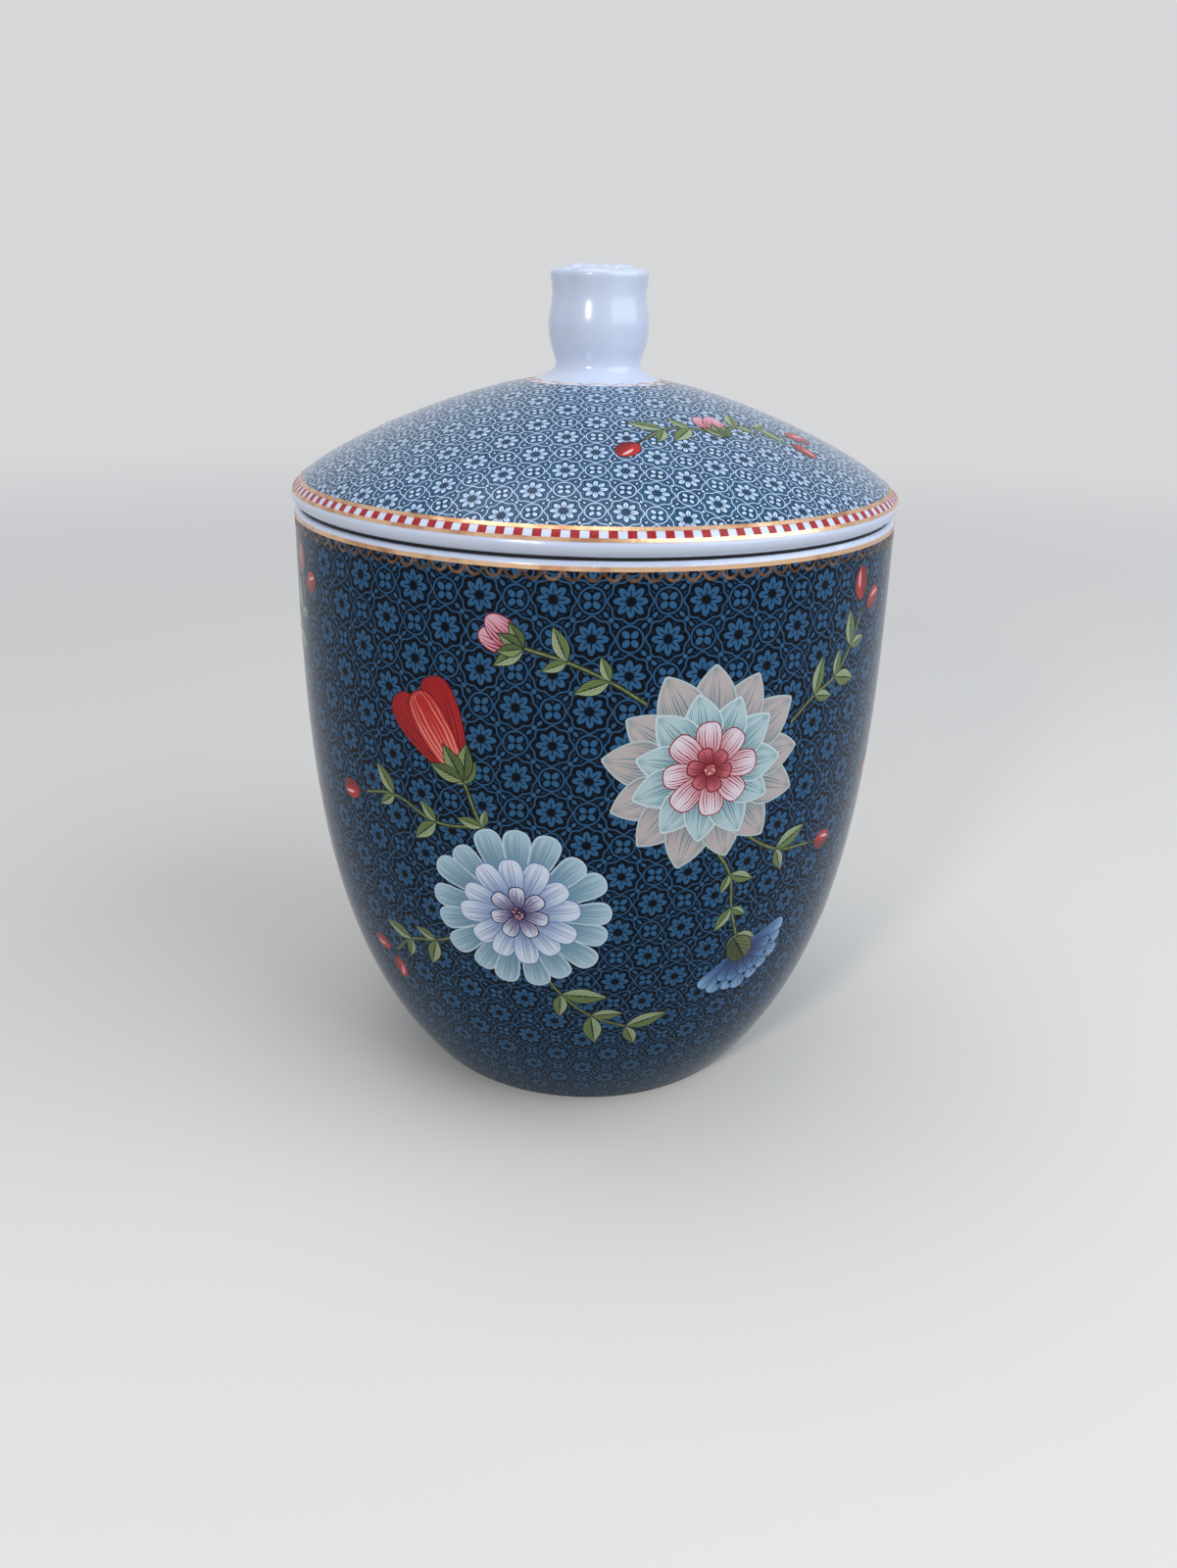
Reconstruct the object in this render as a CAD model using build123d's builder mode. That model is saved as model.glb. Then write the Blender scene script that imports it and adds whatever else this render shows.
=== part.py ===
"""Round porcelain storage jar with a domed lid, a moulded flower knob and a soft sealing ring.

The jar stands on the XY plane with its axis on Z. All sizes are in millimetres.
"""
import os
from math import cos, pi, radians, sin

from build123d import *

os.makedirs("parts", exist_ok=True)

# Jar body: outside
jar_height = 150.3
rim_radius = 75.4
belly_swell = 0.3
belly_height = 119.0
foot_radius = 47.6
foot_rise_angle = 52.3
foot_pull = 30.8
belly_pull = 62.1

# Jar body: wall, floor and edges
jar_wall = 4.5
floor_thickness = 5.5
floor_corner_round = 9.0
rim_outer_round = 1.2
rim_inner_round = 1.5

# Foot ring under the jar
foot_recess_depth = 2.2
foot_ring_width = 4.2
foot_edge_round = 0.9
foot_recess_round = 1.2

# Sealing ring: a band that grips the lid's flange, with a flat lip under the lid's seat
lip_thickness = 0.8
lip_width = 4.2
band_thickness = 1.3
band_height = 5.6
fin_reach = 0.6
fin_thickness = 0.9
fin_count = 2
fin_pitch = 2.4
groove_clearance = 0.3

# Lid: rim and dome, with heights counted from the seat plane
lid_overhang = 0.55
lid_edge_height = 2.35
lid_edge_inset = 1.5
collar_radius = 17.3
collar_height = 28.55
collar_slope = 8.7
dome_edge_pull = 5.9
dome_top_pull = 21.1
lid_wall = 4.5

# Lid: locating flange with the groove for the sealing ring
flange_clearance = 1.4
flange_depth = 11.0
flange_wall = 4.0
groove_depth = 1.2
flange_edge_round = 1.0
groove_edge_round = 0.4

# Knob: five petals standing on the lid's boss
knob_seat_height = 31.6
knob_foot_radius = 10.5
knob_belly_radius = 12.4
knob_belly_height = 9.4
knob_waist_radius = 11.5
knob_waist_height = 16.9
knob_rim_radius = 12.0
knob_rim_height = 22.1
knob_edge_round = 0.7
petal_count = 5
petal_turn = -96.0
crease_depth = 0.7

# Knob: low relief of a flower on its top
crown_radius = 10.4
crown_rise = 0.6
bud_ring_radius = 5.5
bud_ball_radius = 4.0
bud_rise = 0.8
heart_ball_radius = 3.3
heart_rise = 1.0

# Heights and radii that follow from the sizes above
belly_radius = rim_radius + belly_swell
lid_radius = rim_radius + lid_overhang
floor_z = foot_recess_depth + floor_thickness
seat_z = jar_height + lip_thickness
mouth_radius = rim_radius - jar_wall
flange_radius = mouth_radius - flange_clearance
flange_inner_radius = flange_radius - flange_wall
groove_radius = flange_radius - groove_depth
band_inner_radius = groove_radius + groove_clearance
band_outer_radius = band_inner_radius + band_thickness
groove_bottom_z = seat_z - band_height - groove_clearance
flange_bottom_z = seat_z - flange_depth
knob_seat_z = seat_z + knob_seat_height
knob_top_z = knob_seat_z + knob_rim_height


def wall_curve(inset):
    """Control points of the jar's belly curve, moved inwards by inset square to the wall."""
    angle = radians(foot_rise_angle)
    foot = Vector(foot_radius - inset * sin(angle), inset * cos(angle))
    foot_handle = foot + Vector(cos(angle), sin(angle)) * foot_pull
    belly = Vector(belly_radius - inset, belly_height)
    belly_handle = belly - Vector(0, belly_pull)
    return foot, foot_handle, belly_handle, belly


def dome_curve(inset):
    """Control points of the lid's dome curve, moved inwards by inset square to the wall."""
    angle = radians(collar_slope)
    edge = Vector(lid_radius - inset, seat_z + lid_edge_height)
    edge_handle = edge + Vector(0, dome_edge_pull)
    collar = Vector(collar_radius, seat_z + collar_height) - Vector(sin(angle), cos(angle)) * inset
    collar_handle = collar + Vector(cos(angle), -sin(angle)) * dome_top_pull
    return edge, edge_handle, collar_handle, collar


def corner(section, x, y):
    """The corner of a half section that lies nearest to a point."""
    return section.vertices().sort_by_distance((x, y, 0))[0]


def blend(low, high, share):
    """A value between low and high that leaves and arrives level, for share from 0 to 1."""
    return low + (high - low) * (1 - cos(pi * share)) / 2


def petal_points(radius, depth, index):
    """Crease, crest and next crease of one petal of the knob's section."""
    step = 360 / petal_count
    middle = petal_turn + index * step
    ends = [middle - step / 2, middle, middle + step / 2]
    reach = [radius - depth, radius, radius - depth]
    return [(r * cos(radians(a)), r * sin(radians(a))) for r, a in zip(reach, ends)]


# Hollow of the jar, as a half section
with BuildSketch() as jar_hollow:
    with BuildLine():
        inner_belly = Bezier(*wall_curve(jar_wall))
        inner_neck = TangentArc(
            inner_belly @ 1, (mouth_radius, jar_height), tangent=inner_belly % 1
        )
        Polyline(inner_neck @ 1, (0, jar_height), (0, (inner_belly @ 0).Y), inner_belly @ 0)
    make_face()
    with Locations((0, floor_z)):
        Rectangle(
            belly_radius,
            jar_height - floor_z,
            align=(Align.MIN, Align.MIN),
            mode=Mode.INTERSECT,
        )
    floor_corner = jar_hollow.vertices().group_by(Axis.Y)[0].sort_by(Axis.X)[-1]
    fillet(floor_corner, floor_corner_round)

# Jar body
with BuildPart() as jar_body:
    with BuildSketch(Plane.XZ) as jar_section:
        with BuildLine():
            outer_belly = Bezier(*wall_curve(0))
            outer_neck = TangentArc(
                outer_belly @ 1, (rim_radius, jar_height), tangent=outer_belly % 1
            )
            Polyline(outer_neck @ 1, (0, jar_height), (0, 0), outer_belly @ 0)
        make_face()
        add(jar_hollow.sketch, mode=Mode.SUBTRACT)
        Rectangle(
            foot_radius - foot_ring_width,
            foot_recess_depth,
            align=(Align.MIN, Align.MIN),
            mode=Mode.SUBTRACT,
        )
        fillet(corner(jar_section, rim_radius, jar_height), rim_outer_round)
        fillet(corner(jar_section, mouth_radius, jar_height), rim_inner_round)
        fillet(corner(jar_section, foot_radius, 0), foot_edge_round)
        fillet(corner(jar_section, foot_radius - foot_ring_width, 0), foot_edge_round)
        fillet(
            corner(jar_section, foot_radius - foot_ring_width, foot_recess_depth),
            foot_recess_round,
        )
    revolve(axis=Axis.Z)

# Hollow of the lid, as a half section
with BuildSketch() as lid_hollow:
    with BuildLine():
        inner_dome = Bezier(*dome_curve(lid_wall))
        Polyline(
            inner_dome @ 1,
            (0, (inner_dome @ 1).Y),
            (0, flange_bottom_z),
            ((inner_dome @ 0).X, flange_bottom_z),
            inner_dome @ 0,
        )
    make_face()
    with Locations((0, flange_bottom_z)):
        Rectangle(
            flange_inner_radius,
            flange_depth + collar_height,
            align=(Align.MIN, Align.MIN),
            mode=Mode.INTERSECT,
        )

# Lid
with BuildPart() as lid:
    with BuildSketch(Plane.XZ) as lid_section:
        with BuildLine():
            outer_dome = Bezier(*dome_curve(0))
            boss = TangentArc(
                outer_dome @ 1, (knob_foot_radius, knob_seat_z), tangent=outer_dome % 1
            )
            edge = TangentArc(
                outer_dome @ 0, (lid_radius - lid_edge_inset, seat_z), tangent=(0, -1)
            )
            Polyline(boss @ 1, (0, knob_seat_z), (0, seat_z), edge @ 1)
        make_face()
        with Locations((0, flange_bottom_z)):
            Rectangle(groove_radius, flange_depth, align=(Align.MIN, Align.MIN))
            Rectangle(
                flange_radius,
                groove_bottom_z - flange_bottom_z,
                align=(Align.MIN, Align.MIN),
            )
        add(lid_hollow.sketch, mode=Mode.SUBTRACT)
        fillet(corner(lid_section, flange_radius, flange_bottom_z), flange_edge_round)
        fillet(corner(lid_section, flange_inner_radius, flange_bottom_z), flange_edge_round)
        fillet(corner(lid_section, flange_radius, groove_bottom_z), groove_edge_round)
    revolve(axis=Axis.Z)

# Sealing ring
with BuildPart() as seal_ring:
    with BuildSketch(Plane.XZ):
        with Locations((band_inner_radius, seat_z - band_height)):
            Rectangle(band_thickness, band_height, align=(Align.MIN, Align.MIN))
        with Locations((band_inner_radius, seat_z - lip_thickness)):
            Rectangle(band_thickness + lip_width, lip_thickness, align=(Align.MIN, Align.MIN))
        for fin in range(fin_count):
            with Locations((band_inner_radius, seat_z - band_height + fin * fin_pitch)):
                Rectangle(band_thickness + fin_reach, fin_thickness, align=(Align.MIN, Align.MIN))
    revolve(axis=Axis.Z)

# Knob
stations = [(0, knob_foot_radius)]
profile = [
    (0, knob_foot_radius),
    (knob_belly_height, knob_belly_radius),
    (knob_waist_height, knob_waist_radius),
    (knob_rim_height, knob_rim_radius),
]
for (low_z, low_r), (high_z, high_r) in zip(profile, profile[1:]):
    stations.append(((low_z + high_z) / 2, blend(low_r, high_r, 0.5)))
    stations.append((high_z, high_r))

with BuildPart() as knob:
    for height, radius in stations:
        depth = blend(0, crease_depth, min(1, height / knob_belly_height))
        with BuildSketch(Plane.XY.offset(knob_seat_z + height)):
            with BuildLine():
                for index in range(petal_count):
                    ThreePointArc(*petal_points(radius, depth, index))
            make_face()
    loft()
    fillet(knob.faces().sort_by(Axis.Z)[-1].edges(), knob_edge_round)
    with BuildSketch(Plane.XZ):
        with BuildLine():
            crown = ThreePointArc(
                (-crown_radius, knob_top_z),
                (0, knob_top_z + crown_rise),
                (crown_radius, knob_top_z),
            )
            Line(crown @ 1, crown @ 0)
        make_face()
        split(bisect_by=Plane.YZ)
    revolve(axis=Axis.Z)
    bud_z = knob_top_z + crown_rise + bud_rise - bud_ball_radius
    with Locations((0, 0, bud_z)):
        with PolarLocations(bud_ring_radius, petal_count, start_angle=petal_turn):
            Sphere(bud_ball_radius)
    with Locations((0, 0, knob_top_z + crown_rise + heart_rise - heart_ball_radius)):
        Sphere(heart_ball_radius)

jar_body.part.label = "jar_body"
lid.part.label = "lid"
seal_ring.part.label = "seal_ring"
knob.part.label = "knob"

export_step(jar_body.part, "parts/jar_body.step")
export_step(lid.part, "parts/lid.step")
export_step(seal_ring.part, "parts/seal_ring.step")
export_step(knob.part, "parts/knob.step")
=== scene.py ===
"""Looks for the round porcelain storage jar: glaze, printed grounds, gold lines, lace and flowers.

The printed decoration is modelled flat, as a transfer is printed, and then laid on the jar or lid.
On the jar a flat sheet has x round the wall, from the front, and y up the wall, 0 at the rim.
On the lid a flat sheet has its centre on the axis, with -y towards the front.
"""
from math import atan2, ceil, cos, hypot, pi, radians, sin, tau

import bmesh
import bpy
import numpy as np
from mathutils import Matrix, Vector


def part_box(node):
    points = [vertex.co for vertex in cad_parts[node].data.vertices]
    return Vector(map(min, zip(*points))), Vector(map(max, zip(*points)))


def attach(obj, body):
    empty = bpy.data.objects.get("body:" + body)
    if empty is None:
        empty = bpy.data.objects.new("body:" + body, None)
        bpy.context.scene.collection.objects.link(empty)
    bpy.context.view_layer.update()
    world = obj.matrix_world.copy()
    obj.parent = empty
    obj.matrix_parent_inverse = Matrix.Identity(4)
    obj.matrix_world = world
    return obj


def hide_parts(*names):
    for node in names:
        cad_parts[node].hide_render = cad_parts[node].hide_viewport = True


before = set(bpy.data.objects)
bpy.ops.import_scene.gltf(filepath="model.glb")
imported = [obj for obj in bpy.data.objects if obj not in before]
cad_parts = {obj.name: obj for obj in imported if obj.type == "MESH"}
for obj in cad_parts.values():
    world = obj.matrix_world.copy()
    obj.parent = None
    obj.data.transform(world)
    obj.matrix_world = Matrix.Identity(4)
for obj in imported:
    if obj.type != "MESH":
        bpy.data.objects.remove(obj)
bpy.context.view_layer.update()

MM = 0.001

# Places read from the frame, in metres; ROUND is in mm
RIM_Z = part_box("jar_body")[1].z
SEAT_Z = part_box("seal_ring")[1].z
JAR_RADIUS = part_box("jar_body")[1].x
KNOB_SEAT_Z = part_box("knob")[0].z
ROUND = tau * JAR_RADIUS / MM

# Camera, as fitted to the photograph
CAMERA_PLACE = (0, -0.3195, 0.2026)
CAMERA_PITCH = radians(22.35)
CAMERA_ROLL = radians(1.30)
FOCAL_PIXELS = 1250
IMAGE_WIDTH = 1201
SENSOR_WIDTH = 36

# Bands on the jar, in mm below the rim's top
GOLD_LINE_TOP = 0.95
GOLD_LINE_FOOT = 1.9
LACE_FOOT = 4.1
LACE_COUNT = 115
LACE_LINE = 0.62
LACE_LAP = 0.1

# Bands on the lid, in mm above the seat
LID_LINE_FOOT = 3.25
LID_CHECK_FOOT = 3.95
LID_CHECK_TOP = 5.27
LID_LINE_TOP = 5.92
CHECK_COUNT = 122
CHECK_SHARE = 0.49
CHECK_LAP = 0.15
COLLAR_RADIUS = 17.3
COLLAR_ARCHES = 17
ARCH_FOOT = 17.7
ARCH_HEIGHT = 2.0
ARCH_WIDTH = 0.36
ARCH_DEPTH = 0.14
ARCH_BEAD_RADIUS = 0.42
ARCH_BEAD_DEPTH = 0.16

# How far each printed layer stands above the porcelain, in mm
GROUND_LIFT = 0.05
STEM_LIFT = 0.06
LEAF_LIFT = 0.078
BERRY_LIFT = 0.09
BLOSSOM_LIFT = 0.098
TIER_STEP = 0.034
GOLD_LIFT = 0.12
LACE_LIFT = 0.075
SUNK = 0.04

# How closely a wall's profile is followed, in metres, and how sharp an edge stays unsmoothed
WALL_STEP = 0.0005
SMOOTH_ANGLE = radians(40)

# How softly an inked edge ends, in mm
INK_SOFT = 0.05

# Ground panels; their foot is in metres
JAR_PANELS = 8
LID_PANELS = 6
GROUND_FOOT_Z = 0.0002

# Cells of the tile pattern, in mm: as it is drawn, on the jar (30 go round) and on the lid
DRAWN_CELL = 15.85
JAR_CELL = 15.853
LID_CELL = 13.4

# A blossom's petals: how much they vary in size and, in degrees, in place, and their lap in mm
PETAL_GROWTH = 0.035
PETAL_STRAY = 1.5
PETAL_TILT = 0.01

# Greenery, in mm; berries at one stem's end are spread by an angle in degrees
LEAF_SIZE = (11, 4.8)
BERRY_SIZE = (8, 6)
STEM_WIDTH = 1.3
STALK_WIDTH = 0.7
STALK = 3.6
STEM_DEPTH = 0.024
CORE_WIDTH = 0.6
CORE_LIFT = STEM_LIFT + 0.007
CORE_DEPTH = 0.03
BERRY_SPREAD = 78


def srgb(*screen):
    """A colour written as 0 to 255 screen values, as a material needs it."""
    shares = [value / 255 for value in screen]
    linear = [s / 12.92 if s <= 0.04045 else ((s + 0.055) / 1.055) ** 2.4 for s in shares]
    return (*linear, 1.0)


# Materials

class Flow:
    """A number, place or colour in a material's nodes, so that a pattern reads as a formula."""

    def __init__(self, tree, socket):
        self.tree = tree
        self.socket = socket

    def maths(self, kind, *others):
        node = self.tree.nodes.new("ShaderNodeMath")
        node.operation = kind
        for slot, value in zip(node.inputs, (self, *others)):
            plug(value, slot)
        return Flow(self.tree, node.outputs[0])

    def __add__(self, other):
        return self.maths("ADD", other)

    def __sub__(self, other):
        return self.maths("SUBTRACT", other)

    def __mul__(self, other):
        return self.maths("MULTIPLY", other)

    def __truediv__(self, other):
        return self.maths("DIVIDE", other)

    def __abs__(self):
        return self.maths("ABSOLUTE")

    def least(self, other):
        return self.maths("MINIMUM", other)

    def most(self, other):
        return self.maths("MAXIMUM", other)

    def above(self, edge, soft=INK_SOFT):
        """0 below the edge and 1 above it, with a soft step between."""
        node = self.tree.nodes.new("ShaderNodeMapRange")
        node.interpolation_type = "SMOOTHSTEP"
        plug(self, node.inputs["Value"])
        node.inputs["From Min"].default_value = edge - soft
        node.inputs["From Max"].default_value = edge + soft
        return Flow(self.tree, node.outputs["Result"])

    def below(self, edge, soft=INK_SOFT):
        return self.above(edge, soft) * -1 + 1

    def mix(self, first, second):
        """The colour between first and second, for this share from 0 to 1."""
        node = self.tree.nodes.new("ShaderNodeMix")
        node.data_type = "RGBA"
        plug(self, node.inputs["Factor"])
        plug(first, node.inputs[6])
        plug(second, node.inputs[7])
        return Flow(self.tree, node.outputs[2])

    def noise(self, scale, detail):
        """Soft noise about 0.5, at this place."""
        node = self.tree.nodes.new("ShaderNodeTexNoise")
        node.inputs["Scale"].default_value = scale
        node.inputs["Detail"].default_value = detail
        plug(self, node.inputs["Vector"])
        return Flow(self.tree, node.outputs["Fac"])

    def parts(self):
        """The three numbers of a place."""
        node = self.tree.nodes.new("ShaderNodeSeparateXYZ")
        plug(self, node.inputs[0])
        return [Flow(self.tree, socket) for socket in node.outputs]


def plug(value, socket):
    """Links a flow to a socket, or writes a number or a colour's screen values on it."""
    if isinstance(value, Flow):
        value.tree.links.new(value.socket, socket)
    elif isinstance(value, tuple):
        socket.default_value = srgb(*value)
    else:
        socket.default_value = value


def object_place(tree):
    return Flow(tree, tree.nodes.new("ShaderNodeTexCoord").outputs["Object"])


def map_place(tree, name):
    """The piece's own map, as a place and as two numbers."""
    node = tree.nodes.new("ShaderNodeUVMap")
    node.uv_map = name
    place = Flow(tree, node.outputs["UV"])
    return place, *place.parts()[:2]


def finish_of(name, build, *inks, roughness=0.16, coat=0, metallic=0, specular=0.25):
    """A material whose build function returns its colour and may add roughness and a relief.

    A relief is its height and its strength.
    """
    material = bpy.data.materials.new(name)
    material.use_nodes = True
    tree = material.node_tree
    inputs = tree.nodes["Principled BSDF"].inputs
    inputs["Roughness"].default_value = roughness
    inputs["Metallic"].default_value = metallic
    inputs["Coat Weight"].default_value = coat
    inputs["Coat Roughness"].default_value = 0.05
    inputs["Specular IOR Level"].default_value = specular
    made = build(tree, *inks)
    plug(made["colour"], inputs["Base Color"])
    if "roughness" in made:
        plug(made["roughness"], inputs["Roughness"])
    if "relief" in made:
        relief, strength = made["relief"]
        bump = tree.nodes.new("ShaderNodeBump")
        bump.inputs["Strength"].default_value = strength
        bump.inputs["Distance"].default_value = MM
        plug(relief, bump.inputs["Height"])
        tree.links.new(bump.outputs["Normal"], inputs["Normal"])
    return material


def white_glaze(tree):
    """White glaze with faint pooling and orange peel, and bare biscuit where the foot rests."""
    place = object_place(tree)
    height = place.parts()[2]
    pooled = place.noise(34, 3)
    glazed = pooled.mix((214, 224, 244), (224, 232, 246))
    grain = place.noise(1400, 2)
    biscuit = grain.mix((214, 206, 192), (233, 228, 217))
    bare = height.below(0.0003, 0.0001)
    return {
        "colour": bare.mix(glazed, biscuit),
        "roughness": bare * 0.5 + pooled * 0.06 + 0.2,
        "relief": (place.noise(210, 1) * 0.12, 0.12),
    }


def soft_silicone(tree):
    """A silicone seal coloured near black as painted shade for the slit between lid and jar, with
    fine dust in its skin.
    """
    grain = object_place(tree).noise(900, 3)
    return {
        # Near black: painted shade for the slit between lid and jar; the grain is real dust
        "colour": grain.mix((8, 9, 11), (24, 25, 29)),
        "roughness": grain * 0.2 + 0.42,
        "relief": (grain, 0.15),
    }


def burnished_gold(tree):
    """Thin fired gold, worn towards bronze in patches."""
    place = object_place(tree)
    wear = place.noise(130, 4)
    worn = wear.above(0.58, 0.12)
    return {
        "colour": worn.mix((236, 196, 160), (190, 138, 102)),
        "roughness": wear * 0.25 + 0.14,
        "relief": (place.noise(700, 2), 0.08),
    }


def bronze_lace(tree):
    """The lace's darker gold."""
    wear = object_place(tree).noise(260, 3)
    return {
        "colour": wear.above(0.5, 0.15).mix((134, 104, 84), (84, 64, 52)),
        "roughness": wear * 0.25 + 0.2,
    }


def plain_ink(tree, dark, light):
    """A flat printed ink with the fine uneven density of a transfer."""
    density = object_place(tree).noise(900, 3)
    return {
        "colour": density.above(0.5, 0.25).mix(dark, light),
        "roughness": density * 0.08 + 0.16,
    }


def distance(x, y):
    return (x * x + y * y).maths("SQRT")


def petal_disc(x, y, centre, along, across):
    """How far, in mm, a point is outside an ellipse whose long axis lies on x."""
    return distance((x - centre) / along, y / across) * across - across


def trellis(tree, cell):
    """Distances in mm to the shapes and lines of a tile pattern.

    The cell is folded on its mirror lines, so that one eighth of it is drawn: a rosette in a lobed
    frame at (0, 0), a four-petalled blossom in a ring at (half, 0) and a bead between two rosettes.
    """
    place = object_place(tree)
    across, up = map_place(tree, "print")[1:]
    drift = place.noise(90, 1) - 0.5
    sway = place.noise(310, 1) - 0.5
    half = cell / 2
    x = (across + drift * 0.8 + sway * 0.25).maths("PINGPONG", half)
    y = (up + drift * -0.7 + sway * 0.3).maths("PINGPONG", half)
    past = (x + y).maths("GREATER_THAN", half)
    x = x + past * (x * -2 + half)
    y = y + past * (y * -2 + half)
    long = x.most(y)
    short = x.least(y)
    unit = cell / DRAWN_CELL

    def petal_at(along, aside, centre, length, width):
        return petal_disc(along, aside, centre * unit, length * unit, width * unit)

    radius = distance(long, short)
    turn = short.maths("ARCTAN2", long)
    fold = turn.maths("PINGPONG", pi / 8)
    along = radius * fold.maths("COSINE")
    aside = radius * fold.maths("SINE")
    petals = petal_at(along, aside, 2.25, 1.35, 0.82)
    heart = radius - 0.6 * unit
    vein = aside.most(along * -1 + 0.9 * unit).most(along - 2.2 * unit)
    frame_line = abs(radius - (turn * 8).maths("COSINE") * 0.3 * unit - 4.45 * unit)

    blossom_x = long * -1 + half
    blossom_radius = distance(blossom_x, short)
    blossom_turn = short.maths("ARCTAN2", blossom_x) - pi / 4
    blossom_along = blossom_radius * blossom_turn.maths("COSINE")
    blossom_aside = blossom_radius * blossom_turn.maths("SINE")
    blossom = petal_at(blossom_along, blossom_aside, 1.3, 0.95, 0.72)
    blossom_heart = blossom_radius - 0.4 * unit
    ring_line = abs(blossom_radius - 2.75 * unit)

    bead_x = long - half / 2
    bead_y = short - half / 2
    bead = distance(bead_x, bead_y) - 0.6 * unit
    slant = 0.5**0.5
    arm = petal_at((bead_x - bead_y) * slant, (bead_x + bead_y) * slant, 1.55, 0.75, 0.45)
    return {
        "place": place,
        "shapes": petals.least(blossom).least(bead).least(arm),
        "hearts": heart.least(blossom_heart),
        "veins": vein,
        "line": frame_line.least(ring_line),
        "outside": radius - 4.3 * unit,
    }


def engraved(tree, drawn, colours, widths, inked, speck):
    """A ground's shapes and lines; inked is how far the space past the frames is filled in."""
    dark = colours["dark"]
    filled = drawn["outside"].above(0, 0.1) * inked * drawn["line"].above(0.5, 0.1)
    fill = filled.mix(colours["space"], dark)
    fill = drawn["shapes"].above(widths["shape"]).mix(colours["shape"], fill)
    fill = drawn["hearts"].below(widths["heart"]).mix(fill, dark)
    fill = drawn["veins"].below(widths["vein"], 0.04).mix(fill, dark)
    clear = drawn["shapes"].above(0.08)
    fill = (drawn["line"].below(widths["line"]) * clear).mix(fill, dark)
    fill = (drawn["line"].below(widths["light"]) * clear).mix(fill, colours["light"])
    return {"colour": fill, "roughness": speck * 0.08 + 0.12}


def jar_ground(tree):
    """The jar's ground: mid blue shapes drawn in heavy navy line, with patches of thicker ink."""
    drawn = trellis(tree, JAR_CELL)
    heavy = drawn["place"].noise(140, 3)
    speck = drawn["place"].noise(2600, 2)
    deep = speck.mix((18, 48, 76), (34, 68, 100))
    navy = speck.mix((1, 7, 16), (4, 14, 28))
    outline = drawn["shapes"] - heavy.above(0.54, 0.2) * 0.24 - 0.4
    colours = {
        "space": outline.above(0, 0.06).mix(navy, deep),
        "shape": speck.mix((36, 81, 118), (62, 112, 152)),
        "light": (46, 88, 124),
        "dark": navy,
    }
    widths = {"shape": -0.04, "heart": 0, "vein": 0.13, "line": 0.6, "light": 0.21}
    return engraved(tree, drawn, colours, widths, heavy.above(0.57, 0.12), speck)


def lid_ground(tree):
    """The lid's ground: near-white shapes and lines edged in dark slate on a greyed blue."""
    drawn = trellis(tree, LID_CELL)
    heavy = drawn["place"].noise(200, 3)
    speck = drawn["place"].noise(3100, 2)
    thick = heavy.above(0.55, 0.2)
    white = speck.mix((176, 206, 236), (210, 230, 250))
    slate = heavy.mix((38, 86, 118), (64, 110, 141))
    dark = speck.mix((14, 40, 64), (28, 60, 88))
    outline = drawn["shapes"] - thick * 0.2 - 0.1
    space = outline.above(0, 0.07).mix(dark, slate)
    colours = {"space": space, "shape": white, "light": white, "dark": dark}
    widths = {"shape": -0.15, "heart": -0.08, "vein": 0.08, "line": 0.34, "light": 0.14}
    return engraved(tree, drawn, colours, widths, thick * 0.6, speck)


def edge_distance(tree):
    """How far in from its printed outline a point of a motif is, in mm."""
    node = tree.nodes.new("ShaderNodeAttribute")
    node.attribute_name = "edge"
    return Flow(tree, node.outputs["Fac"])


def outlined(tree, colour, outline, width, wander):
    """A motif's colour inside its printed outline, with a faintly uneven sheen."""
    framed = edge_distance(tree).below(width).mix(colour, outline)
    return {"colour": framed, "roughness": wander + 0.14}


def scattered(count):
    """A fixed number from 0 to 1 for each whole number, in no order that shows."""
    return ((count.maths("FLOOR") * 12.9898).maths("SINE") * 43.7585).maths("FRACT")


def petal_print(tree, base, tip, stroke, outline, lanes=15):
    """A printed petal, from its base colour to its tip, with engraved strokes from both ends."""
    border, base_reach, tip_reach = 0.28, 0.8, 0.34
    place, across, along = map_place(tree, "UVMap")
    wander = place.noise(5, 2)
    count = across * lanes + wander * 0.9
    beat = abs(count.maths("FRACT") - 0.5) * 2
    jump = scattered(count)
    from_base = along / (jump * base_reach + base_reach * 0.45)
    from_tip = (along * -1 + 1) / (jump * tip_reach + tip_reach * 0.3)
    strokes = (beat + from_base).below(0.95, 0.16).most((beat + from_tip).below(0.7, 0.16))
    inside = edge_distance(tree).above(border + 0.3, 0.15)
    tone = (along + wander * 0.3).above(0.62, 0.3).mix(base, tip)
    return outlined(tree, (strokes * inside).mix(tone, stroke), outline, border, wander * 0.06)


def petal_ink(name, *inks):
    return finish_of(name, petal_print, *inks)


def leaf_ink(tree, light, dark, outline):
    """A printed leaf: lit on one half, shaded on the other, with a midrib and slanting veins."""
    place, across, along = map_place(tree, "UVMap")
    wander = place.noise(4, 2)
    aside = abs(across - 0.5)
    tone = (across + wander * 0.25).above(0.62, 0.06).mix(light, dark)
    comb = ((along - aside * 0.9) * 7 + wander * 0.6).maths("FRACT")
    vein = abs(comb - 0.5).below(0.1) * aside.below(0.36)
    rib = aside.below(0.05, 0.015)
    return outlined(tree, vein.most(rib).mix(tone, outline), outline, 0.24, wander * 0.06)


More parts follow.
